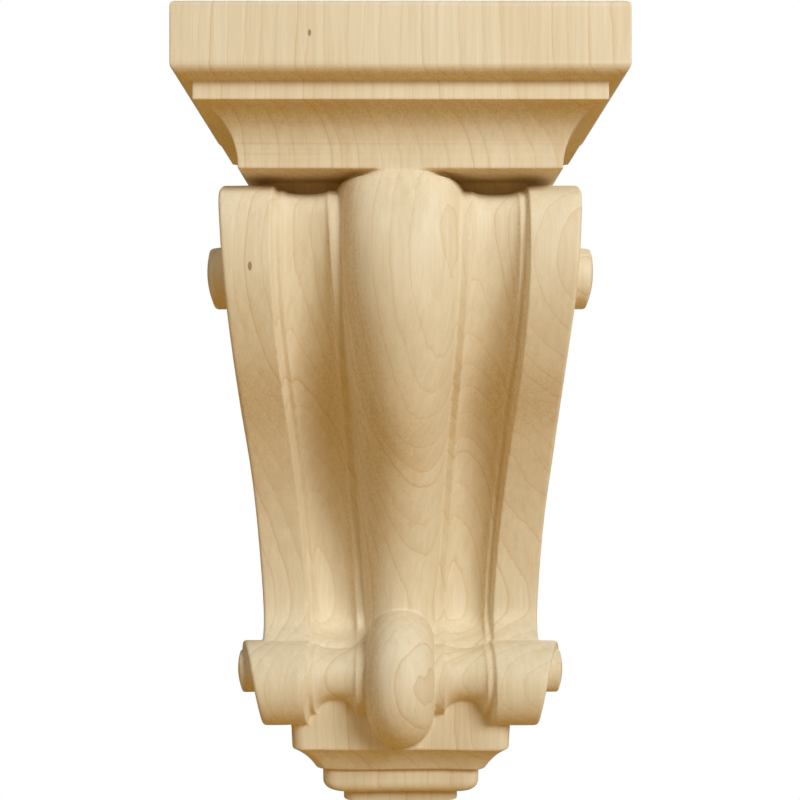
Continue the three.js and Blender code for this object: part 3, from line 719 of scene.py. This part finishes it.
def maple():
    """Pale maple: a tone from fibres, streaks and clouds, darkened by growth lines, by painted
    shade as dark grain specks on the sides turned left or down, away from the key light, and by the
    flecks, with a fine relief along the fibres."""
    material = bpy.data.materials.new("maple")
    material.use_nodes = True
    tree = material.node_tree
    shader = tree.nodes["Principled BSDF"]
    where = add(tree, "ShaderNodeTexCoord").outputs["Object"]
    rings = add(tree, "ShaderNodeGroup", node_tree=growth_rings())
    tree.links.new(where, rings.inputs["Place"])
    fibre = noise(tree, stretched(tree, where, (1, 1, 0.03)), 2800, 3.0, 0.6)
    streak = noise(tree, stretched(tree, where, (1, 1, 0.04)), 520, 3.0, 0.55)
    cloud = noise(tree, stretched(tree, where, (1, 1, 0.4)), 26, 2.0, 0.5)
    tone = maths(tree, "MULTIPLY", fibre, 0.3)
    tone = maths(tree, "MULTIPLY_ADD", streak, 0.4, tone)
    tone = maths(tree, "MULTIPLY_ADD", cloud, 0.35, tone)
    tone = maths(tree, "MULTIPLY_ADD", rings.outputs["Band"], -0.05, tone)
    ramp = add(tree, "ShaderNodeValToRGB", {0: tone})
    ramp.color_ramp.elements[0].position = 0.36
    ramp.color_ramp.elements[0].color = (0.735, 0.60, 0.39, 1)
    ramp.color_ramp.elements[1].position = 0.66
    ramp.color_ramp.elements[1].color = (0.85, 0.74, 0.545, 1)
    # Painted shade: grain-like specks laid only on the sides turned left or down, away from the key
    # light
    shaded_side = add(tree, "ShaderNodeAttribute", attribute_name="shaded_side").outputs["Fac"]
    grain = noise(tree, stretched(tree, where, (1, 1, 0.6)), 1500, 2.0, 0.7)
    shade_speck = maths(tree, "MULTIPLY", maths(tree, "SUBTRACT", grain, 0.46), 6.0)
    shade_speck = maths(tree, "MULTIPLY", maths(tree, "MINIMUM", maths(tree, "MAXIMUM", shade_speck, 0.0), 1.0),
                  shaded_side)
    colour = mixed(tree, maths(tree, "MULTIPLY", rings.outputs["Line"], 0.65), ramp.outputs[0],
                   (0.62, 0.37, 0.14, 1))
    # This brown is painted shade on those sides
    colour = mixed(tree, maths(tree, "MULTIPLY", shade_speck, 0.4), colour, (0.60, 0.36, 0.14, 1))
    colour = mixed(tree, maths(tree, "MULTIPLY", fleck_mask(tree, where), 0.8), colour,
                   (0.25, 0.15, 0.05, 1))
    tree.links.new(colour, shader.inputs["Base Color"])
    rough = maths(tree, "MULTIPLY_ADD", streak, 0.12, 0.5)
    tree.links.new(rough, shader.inputs["Roughness"])
    relief = maths(tree, "MULTIPLY_ADD", fibre, 0.6, streak)
    bump = add(tree, "ShaderNodeBump", {"Height": relief, "Strength": 0.35, "Distance": 0.0001})
    tree.links.new(bump.outputs[0], shader.inputs["Normal"])
    shader.inputs["Specular IOR Level"].default_value = 0.35
    return material


block = carved_block()
block.data.materials.append(maple())
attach(block, "root")
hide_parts("corbel")


# Studio

def white_floor_glowing_below(material_name, tone):
    """A ground that the camera sees as the white of a studio sheet; to every other ray it glows in
    the given tone, lighting the object from below in place of bounce light.
    """
    material = bpy.data.materials.new(material_name)
    material.use_nodes = True
    tree = material.node_tree
    # The glow in the given tone, which every ray but the camera's sees
    shader = add(tree, "ShaderNodeEmission", {"Color": (*tone, 1), "Strength": 1.0})
    glow = add(tree, "ShaderNodeEmission", {"Color": (1, 1, 1, 1), "Strength": 1.0})
    pick = add(tree, "ShaderNodeMixShader")
    tree.links.new(add(tree, "ShaderNodeLightPath").outputs["Is Camera Ray"], pick.inputs[0])
    tree.links.new(shader.outputs[0], pick.inputs[1])
    tree.links.new(glow.outputs[0], pick.inputs[2])
    tree.links.new(pick.outputs[0], tree.nodes["Material Output"].inputs[0])
    return material


FLOOR_DROP = 0.12
FLOOR_HALF = 3.0
floor_mesh = bpy.data.meshes.new("studio_floor")
floor_z = float(BOX_LOW[2]) - FLOOR_DROP
floor_mesh.from_pydata([(-FLOOR_HALF, -FLOOR_HALF, floor_z), (FLOOR_HALF, -FLOOR_HALF, floor_z),
                        (FLOOR_HALF, FLOOR_HALF, floor_z), (-FLOOR_HALF, FLOOR_HALF, floor_z)],
                       [], [(0, 1, 2, 3)])
floor = bpy.data.objects.new("studio_floor", floor_mesh)
bpy.context.collection.objects.link(floor)
# The floor glows this warm orange onto the object from below as stand-in bounce light; the camera
# sees it white
floor_mesh.materials.append(white_floor_glowing_below("glowing_studio_sheet", (0.47, 0.29, 0.08)))

world = bpy.data.worlds.new("studio")
bpy.context.scene.world = world
world.use_nodes = True
sky = world.node_tree
ambient = sky.nodes["Background"]
ambient.inputs["Color"].default_value = (1.0, 0.75, 0.45, 1)
ambient.inputs["Strength"].default_value = 0.09
white = add(sky, "ShaderNodeBackground", {"Color": (1, 1, 1, 1), "Strength": 1.0})
choose = add(sky, "ShaderNodeMixShader")
sky.links.new(add(sky, "ShaderNodeLightPath").outputs["Is Camera Ray"], choose.inputs[0])
sky.links.new(ambient.outputs[0], choose.inputs[1])
sky.links.new(white.outputs[0], choose.inputs[2])
sky.links.new(choose.outputs[0], sky.nodes["World Output"].inputs[0])


def softbox(name, place, size, power, tone):
    """A square area light that faces the middle of the object."""
    lamp = bpy.data.lights.new(name, "AREA")
    lamp.shape = "SQUARE"
    lamp.size = size
    lamp.energy = power
    lamp.color = tone
    made = bpy.data.objects.new(name, lamp)
    made.location = place
    away = np.array(place, float)
    across, out, up = away / np.linalg.norm(away)
    made.rotation_euler = (math.acos(up), 0, math.atan2(across, -out))
    bpy.context.collection.objects.link(made)


softbox("key_light", (0.78, -1.11, 0.64), 0.6, 17.7, (0.94, 1.0, 1.03))
softbox("back_light", (0.5, 1.25, 0.6), 0.9, 6, (0.95, 1.0, 1.0))
softbox("fill_light", (-0.94, -0.79, 0.86), 0.9, 4.5, (0.95, 1.0, 1.0))
